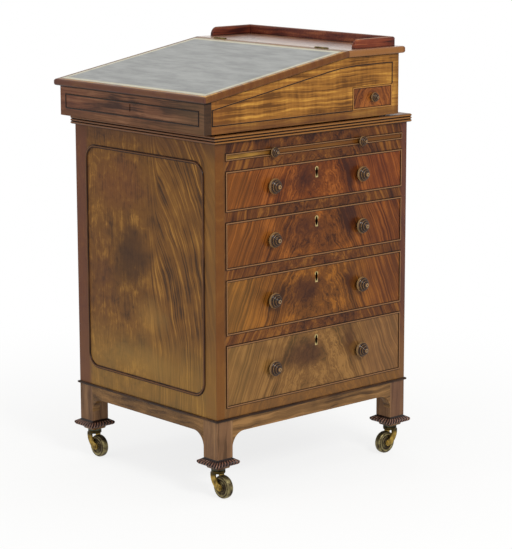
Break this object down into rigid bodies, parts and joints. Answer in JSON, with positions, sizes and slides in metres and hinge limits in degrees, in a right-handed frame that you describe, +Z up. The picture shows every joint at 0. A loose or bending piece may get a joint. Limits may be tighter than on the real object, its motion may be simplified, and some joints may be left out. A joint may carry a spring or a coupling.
{
  "type": "davenport desk",
  "caption": "Wooden davenport desk on casters: sliding writing box with sloping leather lid and gallery, side drawers and pull-out slides.",
  "frame": {"origin": "middle of the desk's footprint on the floor, with the writing box drawn forward as it rests", "axes": "+Z up, -Y towards the writer at the low edge of the slope, +X towards the side with the working drawers"},
  "size_m": [0.482, 0.5644, 0.87],
  "materials": {
    "mahogany": "polished straight-grained mahogany",
    "flame_veneer": "polished flame-figured mahogany veneer",
    "turned_wood": "dark polished turned or carved mahogany",
    "carcase_wood": "plain unpolished oak and pine",
    "leather": "grey-green skiver with a pale tooled border",
    "brass": "aged lacquered brass"
  },
  "bodies": {
    "cabinet": {"front_panel_board": "flame_veneer", "back_panel": "carcase_wood", "base_board": "mahogany", "reeded_top": "mahogany", "front_panel_bead": "mahogany", "drawer_side_frame": "mahogany", "false_side_frame": "mahogany", "drawer_runners": "carcase_wood", "legs": "mahogany", "plinth_aprons": "mahogany", "foot_collars": "turned_wood", "caster_plates": "brass", "false_drawer_fronts": "flame_veneer", "false_drawer_knobs": "turned_wood", "box_guides": "carcase_wood"},
    "writing_box": {"box_bottom": "carcase_wood", "box_front": "mahogany", "box_side_left": "mahogany", "box_side_right": "mahogany", "box_back": "mahogany", "box_dividers": "carcase_wood", "box_shelf": "mahogany", "box_gallery": "mahogany", "box_lines": "mahogany", "box_lock": "brass", "hinge_fixed": "brass"},
    "lid": {"lid_board": "mahogany", "lid_leather": "leather", "hinge_lid": "brass"},
    "pen_drawer": {"pen_drawer": "mahogany", "pen_drawer_knob": "turned_wood"},
    "slide_right": {"slide_right_board": "mahogany", "slide_right_knobs": "turned_wood"},
    "slide_left": {"slide_left_board": "mahogany", "slide_left_knobs": "turned_wood"},
    "drawer_1": {"drawer_1_front": "flame_veneer", "drawer_1_box": "carcase_wood", "drawer_1_knobs": "turned_wood", "drawer_1_lock": "brass"},
    "drawer_2": {"drawer_2_front": "flame_veneer", "drawer_2_box": "carcase_wood", "drawer_2_knobs": "turned_wood", "drawer_2_lock": "brass"},
    "drawer_3": {"drawer_3_front": "flame_veneer", "drawer_3_box": "carcase_wood", "drawer_3_knobs": "turned_wood", "drawer_3_lock": "brass"},
    "drawer_4": {"drawer_4_front": "flame_veneer", "drawer_4_box": "carcase_wood", "drawer_4_knobs": "turned_wood", "drawer_4_lock": "brass"},
    "swivel_1": {"caster_fork_1": "brass"},
    "wheel_1": {"caster_wheel_1": "brass"},
    "swivel_2": {"caster_fork_2": "brass"},
    "wheel_2": {"caster_wheel_2": "brass"},
    "swivel_3": {"caster_fork_3": "brass"},
    "wheel_3": {"caster_wheel_3": "brass"},
    "swivel_4": {"caster_fork_4": "brass"},
    "wheel_4": {"caster_wheel_4": "brass"}
  },
  "joints": [
    {"name": "box_slide", "type": "slide", "parent": "cabinet", "child": "writing_box", "axis": [0, -1, 0], "range_m": [-0.0315, 0.15]},
    {"name": "lid_hinge", "type": "hinge", "parent": "writing_box", "child": "lid", "pos_m": [0, 0.09125, 0.851], "axis": [-1, 0, 0], "range_deg": [0, 160]},
    {"name": "pen_drawer_slide", "type": "slide", "parent": "writing_box", "child": "pen_drawer", "axis": [1, 0, 0], "range_m": [0, 0.12]},
    {"name": "slide_right_pull", "type": "slide", "parent": "cabinet", "child": "slide_right", "axis": [1, 0, 0], "range_m": [0, 0.15]},
    {"name": "slide_left_pull", "type": "slide", "parent": "cabinet", "child": "slide_left", "axis": [-1, 0, 0], "range_m": [0, 0.15]},
    {"name": "drawer_1_slide", "type": "slide", "parent": "cabinet", "child": "drawer_1", "axis": [1, 0, 0], "range_m": [0, 0.3]},
    {"name": "drawer_2_slide", "type": "slide", "parent": "cabinet", "child": "drawer_2", "axis": [1, 0, 0], "range_m": [0, 0.3]},
    {"name": "drawer_3_slide", "type": "slide", "parent": "cabinet", "child": "drawer_3", "axis": [1, 0, 0], "range_m": [0, 0.3]},
    {"name": "drawer_4_slide", "type": "slide", "parent": "cabinet", "child": "drawer_4", "axis": [1, 0, 0], "range_m": [0, 0.3]},
    {"name": "caster_1_swivel", "type": "hinge", "parent": "cabinet", "child": "swivel_1", "pos_m": [-0.197, -0.22275, 0.054], "axis": [0, 0, 1], "continuous": true},
    {"name": "caster_1_roll", "type": "hinge", "parent": "swivel_1", "child": "wheel_1", "pos_m": [-0.182, -0.22275, 0.023], "axis": [0, 1, 0], "continuous": true},
    {"name": "caster_2_swivel", "type": "hinge", "parent": "cabinet", "child": "swivel_2", "pos_m": [0.197, -0.22275, 0.054], "axis": [0, 0, 1], "continuous": true},
    {"name": "caster_2_roll", "type": "hinge", "parent": "swivel_2", "child": "wheel_2", "pos_m": [0.212, -0.22275, 0.023], "axis": [0, 1, 0], "continuous": true},
    {"name": "caster_3_swivel", "type": "hinge", "parent": "cabinet", "child": "swivel_3", "pos_m": [0.197, 0.25125, 0.054], "axis": [0, 0, 1], "continuous": true},
    {"name": "caster_3_roll", "type": "hinge", "parent": "swivel_3", "child": "wheel_3", "pos_m": [0.197, 0.23625, 0.023], "axis": [1, 0, 0], "continuous": true},
    {"name": "caster_4_swivel", "type": "hinge", "parent": "cabinet", "child": "swivel_4", "pos_m": [-0.197, 0.25125, 0.054], "axis": [0, 0, 1], "continuous": true},
    {"name": "caster_4_roll", "type": "hinge", "parent": "swivel_4", "child": "wheel_4", "pos_m": [-0.197, 0.23625, 0.023], "axis": [1, 0, 0], "continuous": true}
  ]
}
